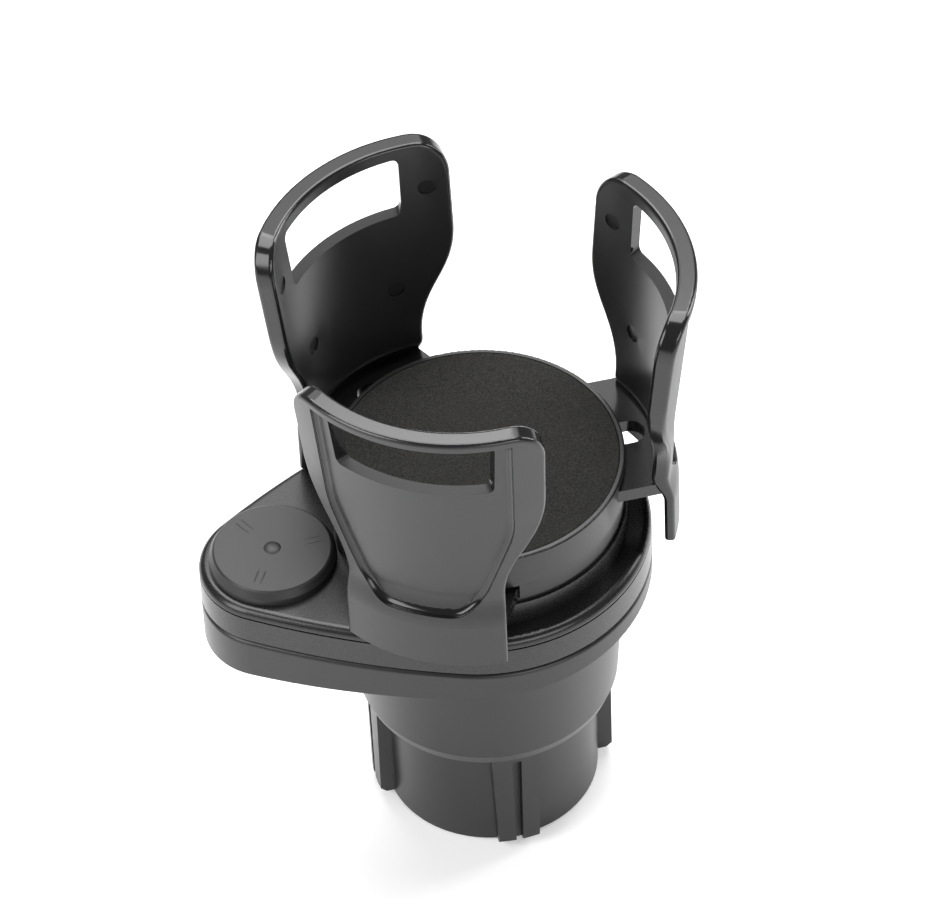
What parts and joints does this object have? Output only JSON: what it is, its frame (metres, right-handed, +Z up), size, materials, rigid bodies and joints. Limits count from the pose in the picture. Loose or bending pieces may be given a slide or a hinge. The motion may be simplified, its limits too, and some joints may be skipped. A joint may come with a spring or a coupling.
{
  "type": "car cup holder",
  "caption": "Black plastic car cup holder: finned lower cup, swinging teardrop carrier and a padded drum with sliding windowed arms.",
  "frame": {"origin": "centre of the foot's underside, on the lower cup's axis", "axes": "+Z up along the cup axis, +X away from the pivot cap"},
  "size_m": [0.1341, 0.1148, 0.186],
  "materials": {
    "shell": "satin",
    "arm": "satin",
    "cap": "matte",
    "foam": "matte",
    "steel": "satin"
  },
  "bodies": {
    "base": {"base_cup": "shell", "pivot_washer": "steel", "pivot_screw": "steel"},
    "carrier": {"carrier_shell": "shell", "wave_washer": "steel", "pivot_cap": "cap", "drum_base": "shell", "drum_cover": "shell", "drum_screws": "steel", "foam_pad": "foam"},
    "right_arm": {"right_arm": "arm"},
    "front_arm": {"front_arm": "arm"},
    "back_arm": {"back_arm": "arm"}
  },
  "joints": [
    {"name": "carrier_swing", "type": "hinge", "parent": "base", "child": "carrier", "pos_m": [-0.056, 0, 0.0855], "axis": [0, 0, 1], "continuous": true},
    {"name": "right_slide", "type": "slide", "parent": "carrier", "child": "right_arm", "axis": [1, 0, 0], "range_m": [-0.0075, 0]},
    {"name": "front_slide", "type": "slide", "parent": "carrier", "child": "front_arm", "axis": [-0.5, -0.866, 0], "range_m": [-0.0075, 0]},
    {"name": "back_slide", "type": "slide", "parent": "carrier", "child": "back_arm", "axis": [-0.5, 0.866, 0], "range_m": [-0.0075, 0]}
  ]
}
